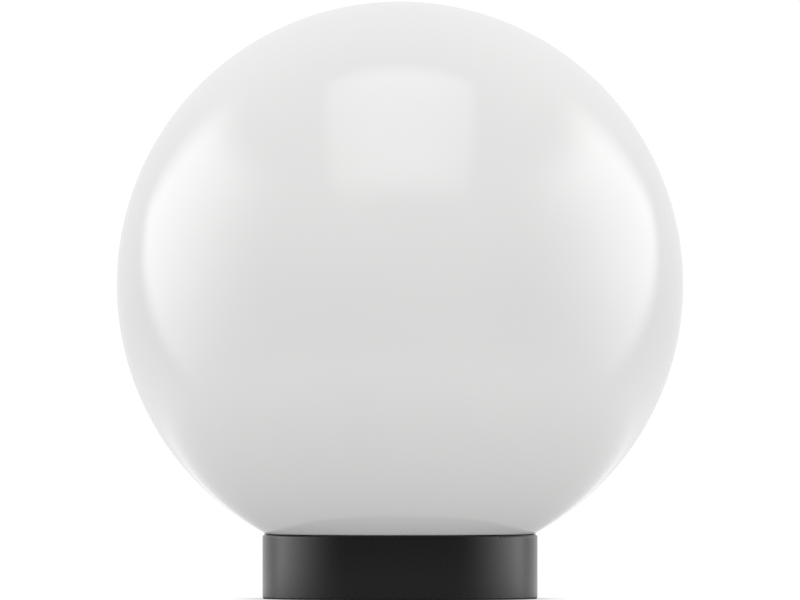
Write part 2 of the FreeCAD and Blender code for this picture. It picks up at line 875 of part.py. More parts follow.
def lamp_cap():
    """The metal shell of the cap, rolled in over the insulator at its foot."""
    lip = insulator_radius + fixed_gap
    low = lamp_bottom + cap_foot
    inner = cap_radius - cap_wall
    return (
        Outline(lip, low)
        .line(lip + cap_lip, low)
        .line(cap_radius, low + cap_taper_height)
        .line(cap_radius, cap_top)
        .line(inner, cap_top)
        .line(inner, low + cap_taper_height + cap_inner_rise)
        .line(lip, low + cap_foot_roll)
        .turned_solid())


def lamp_housing():
    """A white moulding that plugs into the cap and flares to the dome, with a ledge for the board."""
    waist = cap_top + lamp_waist_height
    return (
        Outline(spigot_radius - lamp_wall, cap_top - spigot_length)
        .line(spigot_radius, cap_top - spigot_length)
        .line(spigot_radius, cap_top)
        .line(cap_radius + lamp_shoulder, cap_top)
        .line(cap_radius + lamp_shoulder + lamp_waist_taper, waist)
        .line(lamp_flare_radius, lamp_flare_start)
        .line(seam_radius, lamp_flare_end)
        .line(seam_radius, lamp_seam)
        .line(seam_radius - lamp_wall, lamp_seam)
        .line(seam_radius - lamp_wall, board_height)
        .line(board_ledge, board_height)
        .line(lamp_flare_radius - lamp_wall, lamp_flare_start)
        .line(cap_radius + lamp_shoulder - lamp_waist_wall, waist + lamp_waist_inner_rise)
        .line(spigot_radius - lamp_wall, cap_top + spigot_top_rise)
        .turned_solid())


def led_board():
    return cylinder(board_radius, board_height, board_height + board_thickness)


def leds():
    low = board_height + board_thickness
    chip = box(
        chip_circle - chip_half_length, chip_circle + chip_half_length, -chip_half_width, chip_half_width,
        low, low + chip_height)
    return [turned(chip, 360 / chip_count * index) for index in range(chip_count)]


def driver_board():
    """The upright circuit board in the housing, with its capacitor on one face and its coil on the other."""
    made = [box(
        -driver_half_width, driver_half_width, -driver_half_thickness, driver_half_thickness,
        driver_bottom, driver_top)]
    for part, side in ((capacitor, 1), (coil, -1)):
        y = side * (driver_half_thickness + part["radius"])
        made.append(cylinder(part["radius"], part["low"], part["high"], part["x"], y))
    return made


def lamp_dome():
    """The lamp's opal dome, with a spigot that plugs into the housing."""
    inner = lamp_radius - dome_wall
    inner_low = lamp_seam + dome_ledge
    spigot = seam_radius - lamp_wall - fixed_gap
    spigot_bottom = board_height + board_thickness + dome_board_gap
    inner_top = lamp_top - dome_wall
    return (
        Outline(0, lamp_top)
        .arc(
            arc_middle(lamp_centre_height, lamp_radius, lamp_seam, lamp_top),
            (on_circle(lamp_centre_height, lamp_radius, lamp_seam), lamp_seam))
        .line(spigot, lamp_seam)
        .line(spigot, spigot_bottom)
        .line(spigot - dome_wall, spigot_bottom)
        .line(spigot - dome_wall, lamp_seam)
        .line(on_circle(lamp_centre_height, inner, inner_low), inner_low)
        .arc(arc_middle(lamp_centre_height, inner, inner_low, inner_top), (0, inner_top))
        .turned_solid())


pieces = [
    base_housing, foot_seal, cable_grommet,
    lampholder_bracket, bracket_screws, holder_screws, lampholder_body, lampholder_shell,
    centre_contact, shell_contact, terminal_clamp_screws,
    terminal_block, terminal_clamps, terminal_block_screws, block_fixing_screw,
    live_lead, neutral_lead, lead_ends,
    globe, globe_seal,
    lamp_contact, lamp_insulator, lamp_cap, lamp_housing, led_board, leds, driver_board, lamp_dome,
]

os.makedirs("parts", exist_ok=True)
for piece in pieces:
    made = piece()
    shape = Part.makeCompound(made) if isinstance(made, list) else made
    name = piece.__name__
    if not shape.isValid() or not shape.Solids or any(solid.Volume <= 0 for solid in shape.Solids):
        raise RuntimeError(f"{name} isn't a valid solid")
    shape.exportStep(f"parts/{name}.step")
    print(f"{name}: {len(shape.Solids)} solids, {len(shape.Faces)} faces, {shape.Volume / 1000:.2f} cm3")
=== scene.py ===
import math

import bmesh
import bpy
from mathutils import Matrix, Vector


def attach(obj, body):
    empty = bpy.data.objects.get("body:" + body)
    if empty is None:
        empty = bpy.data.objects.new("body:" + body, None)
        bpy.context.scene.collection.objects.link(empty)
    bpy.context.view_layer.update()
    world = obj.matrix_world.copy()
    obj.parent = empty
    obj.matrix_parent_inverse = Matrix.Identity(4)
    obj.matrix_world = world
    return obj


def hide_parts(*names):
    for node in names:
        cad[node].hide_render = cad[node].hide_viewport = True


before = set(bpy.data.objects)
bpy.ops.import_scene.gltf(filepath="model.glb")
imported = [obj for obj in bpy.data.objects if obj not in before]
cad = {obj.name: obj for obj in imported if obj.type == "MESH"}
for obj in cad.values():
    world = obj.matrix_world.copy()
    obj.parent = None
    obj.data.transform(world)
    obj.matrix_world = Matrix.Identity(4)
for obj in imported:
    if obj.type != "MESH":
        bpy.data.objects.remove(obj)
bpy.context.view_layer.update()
mm = 0.001
print("frame loaded,", len(cad), "nodes")


def linear(hexColour):
    # an sRGB hex colour as the linear one that sockets take
    parts = [int(hexColour[i:i + 2], 16) / 255 for i in (1, 3, 5)]
    return [c / 12.92 if c <= 0.04045 else ((c + 0.055) / 1.055) ** 2.4 for c in parts] + [1.0]


def addNode(tree, kind, settings=(), links=()):
    # settings are properties or sockets; a link comes from a socket, or from a node's first output
    node = tree.nodes.new("ShaderNode" + kind)
    for key, value in dict(settings).items():
        if isinstance(key, int) or key in node.inputs:
            node.inputs[key].default_value = value
        else:
            setattr(node, key, value)
    for key, source in dict(links).items():
        tree.links.new(getattr(source, "outputs", [source])[0], node.inputs[key])
    return node


def slope(ends, low=0.0, high=1.0, kind="SMOOTHSTEP"):
    # what a Map Range is set to: low before the first end, high past the second, and a slope between them
    return {"interpolation_type": kind, "From Min": ends[0], "From Max": ends[1],
            "To Min": low, "To Max": high}


def between(tones):
    # what a colour Mix is set to
    return {"data_type": "RGBA", 6: linear(tones[0]), 7: linear(tones[1])}


def addProduct(tree, slopes):
    # slopes of several sockets, multiplied
    product = None
    for settings, source in slopes:
        factor = addNode(tree, "MapRange", settings, {"Value": source})
        product = factor if product is None else addNode(
            tree, "Math", {"operation": "MULTIPLY"}, {0: product, 1: factor})
    return product


def emptyTree(owner):
    # the node tree of a material or a world, with nothing in it yet
    owner.use_nodes = True
    owner.node_tree.nodes.clear()
    return owner.node_tree


view = {
    "distance": 7.0,            # camera to the globe's axis, far enough to look almost without perspective
    "sensorMm": 36.0,
    "photoWidthMm": 282.1,      # what the photograph's 800 pixels span at the object
    "aimHeight": 105.3 * mm,
    "clip": (0.5, 60.0),
}


def addCamera():
    data = bpy.data.cameras.new("camera")
    data.sensor_width = view["sensorMm"]
    data.lens = view["sensorMm"] * view["distance"] / (view["photoWidthMm"] * mm)
    data.clip_start, data.clip_end = view["clip"]
    camera = bpy.data.objects.new("camera", data)
    camera.location = (0, -view["distance"], view["aimHeight"])
    camera.rotation_euler = (math.radians(90), 0, 0)
    bpy.context.scene.collection.objects.link(camera)
    bpy.context.scene.camera = camera


sheet = {
    "size": 24.0,
    "drop": 0.05 * mm,          # it lies a hair below the foot, so that the two faces don't fight
    "paper": "#f0f0f0",
    "white": 1.12,
    "shade": (0.16, 0.40),      # a painted shadow round the foot: the sheet's glow gives way there to paper that shows its real shadow, and it fades out between these distances
    "lit": 0.82,                # share of the sheet's white that the painted shadow doesn't take
    "touch": (0.047, 0.064),    # and a darker painted shadow right where the foot stands
    "touchLit": 0.45,
    "bounce": (0.05, 0.13),     # what it throws back grows between these distances, as matt surfaces get it: a painted shadow under the light in the sheet's glow
    "matt": (0.55, 0.67),
    "mirrored": (0.045, 0.25),  # and as gloss mirrors it, with the same painted shadow
    "gloss": (0.62, 1.40),
    "edge": (0.16, 0.32),       # where the painted room takes over in what gloss mirrors
}


def floorPaper():
    # white paper, evenly lit apart from a faint shadow round the light's foot, painted by turning its glow
    # down there over the paper's real shading
    material = bpy.data.materials.new("floorPaper")
    tree = emptyTree(material)
    place = addNode(tree, "TexCoord").outputs["Object"]
    far = addNode(tree, "VectorMath", {"operation": "LENGTH"}, {0: place}).outputs["Value"]
    ray = addNode(tree, "LightPath").outputs
    paper = addNode(tree, "BsdfDiffuse", {"Color": linear(sheet["paper"])})
    glow = addNode(tree, "Emission", {"Color": linear("#ffffff"), "Strength": sheet["white"]})
    # the glow's share drops towards the foot: painted shadow, with the paper's real shadow showing through
    lit = addProduct(tree, [
        (slope(sheet["shade"], sheet["lit"]), far),
        (slope(sheet["touch"], sheet["touchLit"]), far)])
    seen = addNode(tree, "MixShader", {}, {0: lit, 1: paper, 2: glow})
    # for all but the camera the sheet is a glow, dimmer near the foot: painted shadow in the light it throws
    # back and in what gloss mirrors
    matt = addNode(tree, "MapRange", slope(sheet["bounce"], *sheet["matt"]), {"Value": far})
    gloss = addNode(tree, "MapRange", slope(sheet["mirrored"], *sheet["gloss"]), {"Value": far})
    level = addNode(tree, "Mix", {"data_type": "FLOAT"}, {0: ray["Is Glossy Ray"], 2: matt, 3: gloss})
    thrown = addNode(tree, "Emission", {"Color": linear("#ffffff")}, {"Strength": level})
    either = addNode(tree, "MixShader", {}, {0: ray["Is Camera Ray"], 1: thrown, 2: seen})
    edge = addNode(tree, "MapRange", slope(sheet["edge"]), {"Value": far})
    gone = addNode(tree, "Math", {"operation": "MULTIPLY"}, {0: ray["Is Glossy Ray"], 1: edge})
    clear = addNode(tree, "BsdfTransparent")
    whole = addNode(tree, "MixShader", {}, {0: gone, 1: either, 2: clear})
    addNode(tree, "OutputMaterial", {}, {"Surface": whole})
    return material


def addFloor():
    bm = bmesh.new()
    bmesh.ops.create_grid(bm, x_segments=1, y_segments=1, size=sheet["size"] / 2)
    mesh = bpy.data.meshes.new("floor")
    bm.to_mesh(mesh)
    bm.free()
    mesh.transform(Matrix.Translation((0, 0, -sheet["drop"])))
    mesh.materials.append(floorPaper())
    floor = bpy.data.objects.new("floor", mesh)
    bpy.context.scene.collection.objects.link(floor)


room = {
    "white": 1.1,               # what the camera sees behind the light
    "mattRise": (1.35, 0.67),   # what falls on matt surfaces, from the horizon and from overhead
    "mattFront": 0.90,          # the share of it that comes from the camera's side
    "mattSides": 1.10,          # and what comes from either side
    "turn": (-0.35, 0.75),      # from the camera's side to the backdrop, along Y
    "gloss": (0.14, 0.93),      # what gloss mirrors of the walls, at these two
    "floor": (0.60, 1.45),      # and of the sheet
    "down": (-2.0, -26.0),      # the elevations, in degrees, between which the walls give way to the sheet
}

sideBoxes = {
    # two tall soft lights; azimuth in degrees from straight behind, the same on either side, and elevation
    "radiance": 1.93,
    "backEdge": 38.0,
    "backSoft": 13.0,           # how wide the back edge's fade is
    "leanFrom": 12.0,
    "backLean": 0.75,           # how fast that edge moves away below this elevation
    "backSpread": 0.50,         # and how fast it softens above it
    "frontFade": (78.0, 130.0),
    "swell": (46.0, 74.0),      # brighter towards its middle
    "swellLevel": (0.87, 1.18),
    "top": (46.0, 30.0),
    "bottom": (-38.0, 6.0),
}

topBox = {
    # a square soft light over and before the globe, as slopes from its middle
    "radiance": 1.65,
    "elevation": 55.0,
    "ahead": (0.0, 0.01),       # nothing is lit behind it
    "nearest": 0.001,           # and no slope is worked out closer than this
    "across": (0.54, 0.42),
    "swell": (0.50, 0.10),      # brighter towards its middle
    "swellFrom": 0.64,
    "bottom": (-0.46, -0.10),
    "top": (1.14, 0.74),
    "corner": (1.50, 1.34),
}


def addSideBoxes(tree, azimuth, elevation):
    box = sideBoxes
    below = addNode(tree, "Math", {"operation": "SUBTRACT", 0: box["leanFrom"]}, {1: elevation})
    below = addNode(tree, "Math", {"operation": "MAXIMUM", 1: 0.0}, {0: below})
    above = addNode(tree, "Math", {"operation": "SUBTRACT", 1: box["leanFrom"]}, {0: elevation})
    above = addNode(tree, "Math", {"operation": "MAXIMUM", 1: 0.0}, {0: above})
    leaned = addNode(tree, "Math", {"operation": "MULTIPLY_ADD", 1: -box["backLean"]}, {0: below, 2: azimuth})
    past = addNode(tree, "Math", {"operation": "SUBTRACT", 1: box["backEdge"]}, {0: leaned})
    wide = addNode(tree, "Math", {
        "operation": "MULTIPLY_ADD", 1: box["backSpread"], 2: box["backSoft"]}, {0: above})
    share = addNode(tree, "Math", {"operation": "DIVIDE"}, {0: past, 1: wide})
    return addProduct(tree, [
        (slope((0.0, 1.0), 0.0, box["radiance"]), share),
        (slope(box["swell"], *box["swellLevel"]), azimuth),
        (slope(box["frontFade"], 1.0, 0.0), azimuth),
        (slope(box["top"]), elevation),
        (slope(box["bottom"]), elevation)])


def addTopBox(tree, way):
    box = topBox
    tilted = addNode(tree, "VectorRotate", {
        "rotation_type": "X_AXIS", "Angle": math.radians(box["elevation"])}, {"Vector": way})
    tilted = addNode(tree, "SeparateXYZ", {}, {0: tilted}).outputs
    ahead = addNode(tree, "Math", {"operation": "MULTIPLY", 1: -1.0}, {0: tilted["Y"]})
    depth = addNode(tree, "Math", {"operation": "MAXIMUM", 1: box["nearest"]}, {0: ahead})
    side = addNode(tree, "Math", {"operation": "ABSOLUTE"}, {0: tilted["X"]})
    across = addNode(tree, "Math", {"operation": "DIVIDE"}, {0: side, 1: depth})
    up = addNode(tree, "Math", {"operation": "DIVIDE"}, {0: tilted["Z"], 1: depth})
    corner = addNode(tree, "Math", {"operation": "ADD"}, {0: across, 1: up})
    return addProduct(tree, [
        (slope(box["ahead"], 0.0, box["radiance"]), ahead),
        (slope(box["across"]), across),
        (slope(box["swell"], box["swellFrom"]), across),
        (slope(box["bottom"]), up),
        (slope(box["top"]), up),
        (slope(box["corner"]), corner)])


def addRoom():
    world = bpy.data.worlds.new("room")
    bpy.context.scene.world = world
    tree = emptyTree(world)
    ray = addNode(tree, "LightPath").outputs
    place = addNode(tree, "TexCoord").outputs["Generated"]
    way = addNode(tree, "SeparateXYZ", {}, {0: place}).outputs
    side = addNode(tree, "Math", {"operation": "ABSOLUTE"}, {0: way["X"]})
    azimuth = addNode(tree, "Math", {"operation": "ARCTAN2"}, {0: side, 1: way["Y"]})
    azimuth = addNode(tree, "Math", {"operation": "DEGREES"}, {0: azimuth})
    elevation = addNode(tree, "Math", {"operation": "ARCSINE"}, {0: way["Z"]})
    elevation = addNode(tree, "Math", {"operation": "DEGREES"}, {0: elevation})
    walls = addNode(tree, "MapRange", slope(room["turn"], *room["gloss"]), {"Value": way["Y"]})
    paper = addNode(tree, "MapRange", slope(room["turn"], *room["floor"]), {"Value": way["Y"]})
    down = addNode(tree, "MapRange", slope(room["down"]), {"Value": elevation})
    gloss = addNode(tree, "Mix", {"data_type": "FLOAT"}, {0: down, 2: walls, 3: paper})
    for box in (addSideBoxes(tree, azimuth, elevation), addTopBox(tree, place)):
        gloss = addNode(tree, "Math", {"operation": "ADD"}, {0: gloss, 1: box})
    matt = addProduct(tree, [
        (slope((0.0, 1.0), *room["mattRise"], "LINEAR"), way["Z"]),
        (slope((-1.0, 1.0), room["mattFront"], 1.0, "LINEAR"), way["Y"]),
        (slope((0.0, 1.0), 1.0, room["mattSides"], "LINEAR"), side)])
    fallen = addNode(tree, "Mix", {"data_type": "FLOAT"}, {0: ray["Is Glossy Ray"], 2: matt, 3: gloss})
    white = {"data_type": "FLOAT", 3: room["white"]}
    seen = addNode(tree, "Mix", white, {0: ray["Is Camera Ray"], 2: fallen})
    light = addNode(tree, "Background", {"Color": linear("#ffffff")}, {"Strength": seen})
    addNode(tree, "OutputWorld", {}, {"Surface": light})


topFill = {
    # one broad light overhead, for matt surfaces only: what gloss mirrors is painted in the room
    "at": (0, -0.5, 2.2),
    "aim": (0, 0, 0.11),
    "size": 2.0,
    "radiance": 0.56,
}


def addTopFill():
    data = bpy.data.lights.new("topFill", "AREA")
    data.shape = "DISK"
    data.size = topFill["size"]
    data.energy = topFill["radiance"] * math.pi * math.pi * topFill["size"] ** 2 / 4
    light = bpy.data.objects.new("topFill", data)
    light.location = topFill["at"]
    aim = Vector(topFill["aim"]) - light.location
    light.rotation_euler = aim.to_track_quat("-Z", "Y").to_euler()
    light.visible_glossy = False
    bpy.context.scene.collection.objects.link(light)


addCamera()
addFloor()
addRoom()
addTopFill()
bpy.context.scene.view_settings.view_transform = "Standard"
print("studio ready")


def newMaterial(name, look, ground):
    # ground works out what varies over the piece, its height first; the look's skin is the same all over
    material = bpy.data.materials.new(name)
    tree = emptyTree(material)
    place = addNode(tree, "TexCoord").outputs["Object"]
    height, varied = ground(tree, place, look)
    relief = {"Strength": look["strength"], "Distance": look["depth"] * mm}
    varied["Normal"] = addNode(tree, "Bump", relief, {"Height": height})
    skin = addNode(tree, "BsdfPrincipled", look["skin"], varied)
    addNode(tree, "OutputMaterial", {}, {"Surface": skin})
    return material


def paint(material, *names):
    for name in names:
        slots = cad[name].data.materials
        slots.clear()
        slots.append(material)


# Each look: two tones that drift into each other over patches, a roughness that follows the grain,
# and the grain's size, depth and stretch. Sizes are in millimetres.
looks = {
    # black PP from a lightly eroded mould: satin, with a very fine even grain
    "blackPolypropyleneMoulded": {
        "tones": ("#101011", "#131314"), "patch": 25, "grain": 0.5, "depth": 0.006, "strength": 0.5,
        "rough": (0.21, 0.28), "skin": {"IOR": 1.49, "Specular IOR Level": 0.35}},
    # EPDM rubber, moulded and dusted with talc: dead matt, a little mottled
    "blackEpdmRubberMoulded": {
        "tones": ("#0c0c0c", "#171717"), "patch": 3, "grain": 0.6, "depth": 0.02, "strength": 0.6,
        "rough": (0.66, 0.82), "skin": {"IOR": 1.48, "Specular IOR Level": 0.4}},
    # cold-rolled strip, pressed and zinc-plated: cool and bright, its rolling lines still show
    "zincPlatedSteelPressed": {
        "tones": ("#aeb4b8", "#c6cbce"), "patch": 5, "grain": 0.35, "depth": 0.008, "strength": 0.6,
        "rough": (0.22, 0.40), "stretch": (0.05, 1.0, 1.0), "skin": {"Metallic": 1.0}},
    # cold-headed screws, barrel-plated with zinc: softly bright, dulled where they rubbed together
    "zincPlatedSteelHeaded": {
        "tones": ("#b3b5b4", "#cfd2d4"), "patch": 1.6, "grain": 0.25, "depth": 0.008, "strength": 0.5,
        "rough": (0.20, 0.36), "skin": {"Metallic": 1.0}},
    # brass strip, rolled and bent: warm, with drawn lines up the strip and a breath of tarnish
    "brassStripRolled": {
        "tones": ("#b58f43", "#d8b566"), "patch": 4, "grain": 0.3, "depth": 0.008, "strength": 0.6,
        "rough": (0.20, 0.38), "stretch": (1.0, 1.0, 0.06), "skin": {"Metallic": 1.0}},
    # brass turned from bar: brighter than the strip, with fine tool marks
    "brassTurned": {
        "tones": ("#c39c4c", "#e0c078"), "patch": 2.5, "grain": 0.2, "depth": 0.010, "strength": 0.6,
        "rough": (0.16, 0.30), "stretch": (0.15, 0.15, 1.0), "skin": {"Metallic": 1.0}},
    # brass sheet, rolled to a thread and nickel-plated: a warm silver with rolling lines round it
    "brassNickelPlated": {
        "tones": ("#c2bba8", "#d9d3c3"), "patch": 6, "grain": 0.25, "depth": 0.006, "strength": 0.5,
        "rough": (0.14, 0.28), "stretch": (0.04, 0.04, 1.0), "skin": {"Metallic": 1.0}},
    # aluminium sheet, deep-drawn and rolled to a thread: pale and softly brushed round
    "aluminiumRolled": {
        "tones": ("#c9cacb", "#dedfdf"), "patch": 7, "grain": 0.25, "depth": 0.008, "strength": 0.6,
        "rough": (0.22, 0.36), "stretch": (0.04, 0.04, 1.0), "skin": {"Metallic": 1.0}},
    # tin solder, set from a drop: grey and lumpy, half bright
    "tinSolderSet": {
        "tones": ("#a6a8aa", "#c4c6c7"), "patch": 1.2, "grain": 1.0, "depth": 0.06, "strength": 0.8,
        "rough": (0.26, 0.48), "skin": {"Metallic": 1.0}},
    # copper strands, bared and twisted: reddish and drawn out, the strands shown about twice as coarse
    "copperStranded": {
        "tones": ("#9c5230", "#d98c5f"), "patch": 0.9, "grain": 0.3, "depth": 0.05, "strength": 0.9,
        "rough": (0.22, 0.40), "stretch": (0.2, 0.9, 1.0), "skin": {"Metallic": 1.0}},
    # natural polyamide, moulded: milky, a little waxy and slightly see-through at its edges
    "polyamideNaturalMoulded": {
        "tones": ("#dedbcf", "#e8e6dc"), "patch": 6, "grain": 0.5, "depth": 0.01, "strength": 0.5,
        "rough": (0.34, 0.46),
        "skin": {"IOR": 1.53, "Subsurface Weight": 0.15, "Subsurface Scale": 0.0015}},
    # silicone sleeves: soft and matt, picking up a little dust
    "brownSiliconeExtruded": {
        "tones": ("#4a2614", "#5a3120"), "patch": 3, "grain": 0.8, "depth": 0.02, "strength": 0.5,
        "rough": (0.48, 0.60), "skin": {"IOR": 1.41, "Sheen Weight": 0.15}},
    "blueSiliconeExtruded": {
        "tones": ("#1d4f93", "#2a5fa6"), "patch": 3, "grain": 0.8, "depth": 0.02, "strength": 0.5,
        "rough": (0.48, 0.60), "skin": {"IOR": 1.41, "Sheen Weight": 0.15}},
    # black insulating glass, poured into the cap's foot: fire-polished, like black enamel
    "blackGlassPoured": {
        "tones": ("#0b0b0d", "#15151a"), "patch": 2, "grain": 2.0, "depth": 0.03, "strength": 0.5,
        "rough": (0.04, 0.10), "skin": {"IOR": 1.52}},
    # white PBT, moulded over the heat sink: a fine eroded grain that takes the shine off
    "whitePbtMoulded": {
        "tones": ("#ececea", "#f3f3f1"), "patch": 20, "grain": 0.4, "depth": 0.02, "strength": 0.6,
        "rough": (0.38, 0.50), "skin": {"IOR": 1.57}},
    # opal polycarbonate, moulded with a frosted skin: white, with a wide soft sheen
    "opalPolycarbonateFrosted": {
        "tones": ("#f0f0ee", "#f6f6f4"), "patch": 25, "grain": 0.35, "depth": 0.015, "strength": 0.6,
        "rough": (0.44, 0.56), "skin": {"IOR": 1.58, "Subsurface Weight": 0.2, "Subsurface Scale": 0.003}},
}
grainSpan = (0.3, 0.7)      # most of a noise lies between these


def grainedGround(tree, place, look):
    patches = addNode(tree, "TexNoise", {"Scale": 1 / (look["patch"] * mm), "Detail": 3.0}, {"Vector": place})
    drawn = addNode(tree, "Mapping", {"Scale": look.get("stretch", (1.0, 1.0, 1.0))}, {"Vector": place})
    grain = addNode(tree, "TexNoise", {"Scale": 1 / (look["grain"] * mm), "Detail": 2.0}, {"Vector": drawn})
    tone = addNode(tree, "Mix", between(look["tones"]), {0: patches})
    shine = addNode(tree, "MapRange", slope(grainSpan, *look["rough"], "LINEAR"), {"Value": grain})
    return grain, {"Base Color": tone.outputs[2], "Roughness": shine}


def finish(name):
    return newMaterial(name, looks[name], grainedGround)


opal = {
    # opal PMMA, blown in a polished mould: white right through, with a deep even gloss
    "tones": ("#e9e9e9", "#ededec"), "cloud": 70,
    "rough": (0.04, 0.07),
    "peel": 9, "depth": 0.05, "strength": 0.04,     # the slight waviness of blown plastic, at its real width
    "skin": {"IOR": 1.49},
}


def opalGround(tree, place, look):
    cloud = addNode(tree, "TexNoise", {"Scale": 1 / (look["cloud"] * mm), "Detail": 2.0}, {"Vector": place})
    tone = addNode(tree, "Mix", between(look["tones"]), {0: cloud})
    haze = addNode(tree, "MapRange", slope((0.0, 1.0), *look["rough"], "LINEAR"), {"Value": cloud})
    peel = addNode(tree, "TexNoise", {"Scale": 1 / (look["peel"] * mm), "Detail": 1.0}, {"Vector": place})
    return peel, {"Base Color": tone.outputs[2], "Roughness": haze}


porcelain = {
    # slip-cast porcelain under a clear glaze: warm white, wet-looking, slightly wavy, with a bare chalky foot
    "foot": (13.2 * mm, 13.6 * mm),     # below this the ring it was fired on is bare
    "bare": "#e3dccb", "tones": ("#f0ede4", "#f7f5ef"), "cloud": 8,
    "rough": (0.75, 0.07),              # bare and glazed
    "wave": 2.5, "depth": 0.04, "strength": 0.4,
    "skin": {"IOR": 1.52},
}


def porcelainGround(tree, place, look):
    height = addNode(tree, "SeparateXYZ", {}, {0: place}).outputs["Z"]
    glazed = addNode(tree, "MapRange", slope(look["foot"]), {"Value": height})
    cloud = addNode(tree, "TexNoise", {"Scale": 1 / (look["cloud"] * mm), "Detail": 3.0}, {"Vector": place})
    white = addNode(tree, "Mix", between(look["tones"]), {0: cloud}).outputs[2]
    tone = addNode(tree, "Mix", {"data_type": "RGBA", 6: linear(look["bare"])}, {0: glazed, 7: white})
    shine = addNode(tree, "MapRange", slope((0.0, 1.0), *look["rough"], "LINEAR"), {"Value": glazed})
    wave = addNode(tree, "TexNoise", {"Scale": 1 / (look["wave"] * mm), "Detail": 2.0}, {"Vector": place})
    return wave, {"Base Color": tone.outputs[2], "Roughness": shine}


ring = {
    "chips": 12,
    "radius": 16.1 * mm,    # of the circle that the chips stand on
}

chips = {
    # a yellow phosphor gel in each chip's white frame: the gel is smooth and a little sunken
    "outwards": (1.15 * mm, 1.03 * mm),     # where the gel ends, from a chip's middle outwards
    "along": (1.05 * mm, 0.93 * mm),        # and round the circle
    "tones": ("#f2f1ea", "#e8c23a"),
    "rough": (0.42, 0.22), "depth": 0.12, "strength": 0.8,
    "skin": {"IOR": 1.5},
}

board = {
    # an aluminium-cored board under white solder mask: the tracks in the chips' ring show as a faint step
    "track": (2.1 * mm, 1.95 * mm), "trackTone": "#d3d8d0",
    "tones": ("#e4e6e0", "#eceee9"), "speck": 0.8,
    "rough": (0.32, 0.44), "depth": 0.06, "strength": 0.6,
    "skin": {"IOR": 1.55},
}


def addRingDistance(tree, place):
    # how far a point lies from the circle that the chips stand on, seen along the lamp's axis
    flat = addNode(tree, "VectorMath", {"operation": "MULTIPLY", 1: (1.0, 1.0, 0.0)}, {0: place})
    far = addNode(tree, "VectorMath", {"operation": "LENGTH"}, {0: flat}).outputs["Value"]
    outwards = addNode(tree, "Math", {"operation": "SUBTRACT", 1: ring["radius"]}, {0: far})
    return addNode(tree, "Math", {"operation": "ABSOLUTE"}, {0: outwards})


def chipGround(tree, place, look):
    outwards = addRingDistance(tree, place)
    split = addNode(tree, "SeparateXYZ", {}, {0: place}).outputs
    turn = addNode(tree, "Math", {"operation": "ARCTAN2"}, {0: split["Y"], 1: split["X"]})
    count = addNode(tree, "Math", {"operation": "MULTIPLY", 1: ring["chips"] / (2 * math.pi)}, {0: turn})
    nearest = addNode(tree, "Math", {"operation": "ROUND"}, {0: count})
    along = addNode(tree, "Math", {"operation": "SUBTRACT"}, {0: count, 1: nearest})
    along = addNode(tree, "Math", {"operation": "ABSOLUTE"}, {0: along})
    step = 2 * math.pi / ring["chips"] * ring["radius"]
    along = addNode(tree, "Math", {"operation": "MULTIPLY", 1: step}, {0: along})
    gel = addProduct(tree, [(slope(look["outwards"]), outwards), (slope(look["along"]), along)])
    tone = addNode(tree, "Mix", between(look["tones"]), {0: gel})
    shine = addNode(tree, "MapRange", slope((0.0, 1.0), *look["rough"], "LINEAR"), {"Value": gel})
    rim = addNode(tree, "Math", {"operation": "SUBTRACT", 0: 1.0}, {1: gel})
    return rim, {"Base Color": tone.outputs[2], "Roughness": shine}


def boardGround(tree, place, look):
    outwards = addRingDistance(tree, place)
    track = addNode(tree, "MapRange", slope(look["track"]), {"Value": outwards})
    speck = addNode(tree, "TexNoise", {"Scale": 1 / (look["speck"] * mm), "Detail": 3.0}, {"Vector": place})
    mask = addNode(tree, "Mix", between(look["tones"]), {0: speck}).outputs[2]
    tone = addNode(tree, "Mix", {"data_type": "RGBA", 7: linear(look["trackTone"])}, {0: track, 6: mask})
    shine = addNode(tree, "MapRange", slope((0.0, 1.0), *look["rough"], "LINEAR"), {"Value": speck})
    return track, {"Base Color": tone.outputs[2], "Roughness": shine}


driver = {
    # a white-masked board, a capacitor in a black shrunk sleeve with a bare top, a coil of enamelled wire,
    # painted darker in the grooves between its turns
    "board": "#e2e4de", "capacitor": ("#16181c", "#c9cbcc"), "wire": ("#7d3c1c", "#c77b47"),
    "boardHalf": 0.85 * mm,     # the board's half on Y: the capacitor is behind it, the coil before it
    "canTop": 81.6 * mm,
    "wirePitch": 0.5 * mm, "depth": 0.1, "strength": 0.7,
    "skin": {"Roughness": 0.34},
}


def driverGround(tree, place, look):
    split = addNode(tree, "SeparateXYZ", {}, {0: place}).outputs
    behind = addNode(tree, "Math", {"operation": "GREATER_THAN", 1: look["boardHalf"]}, {0: split["Y"]})
    before = addNode(tree, "Math", {"operation": "LESS_THAN", 1: -look["boardHalf"]}, {0: split["Y"]})
    above = addNode(tree, "Math", {"operation": "GREATER_THAN", 1: look["canTop"]}, {0: split["Z"]})
    perMetre = 2 * math.pi / look["wirePitch"]
    turns = addNode(tree, "Math", {"operation": "MULTIPLY", 1: perMetre}, {0: split["Z"]})
    turns = addNode(tree, "Math", {"operation": "SINE"}, {0: turns})
    wound = addNode(tree, "MapRange", slope((-1.0, 1.0)), {"Value": turns})
    can = addNode(tree, "Mix", between(look["capacitor"]), {0: above}).outputs[2]
    # the wire's tone follows the turns' relief: painted shade in the grooves between them, lighter on their
    # crests
    wire = addNode(tree, "Mix", between(look["wire"]), {0: wound}).outputs[2]
    rear = addNode(tree, "Mix", {"data_type": "RGBA", 6: linear(look["board"])}, {0: behind, 7: can})
    tone = addNode(tree, "Mix", {"data_type": "RGBA"}, {0: before, 6: rear.outputs[2], 7: wire})
    coil = addNode(tree, "Math", {"operation": "MULTIPLY"}, {0: wound, 1: before})
    bare = addNode(tree, "Math", {"operation": "MULTIPLY_ADD"}, {0: behind, 1: above, 2: before})
    return coil, {"Base Color": tone.outputs[2], "Metallic": bare}


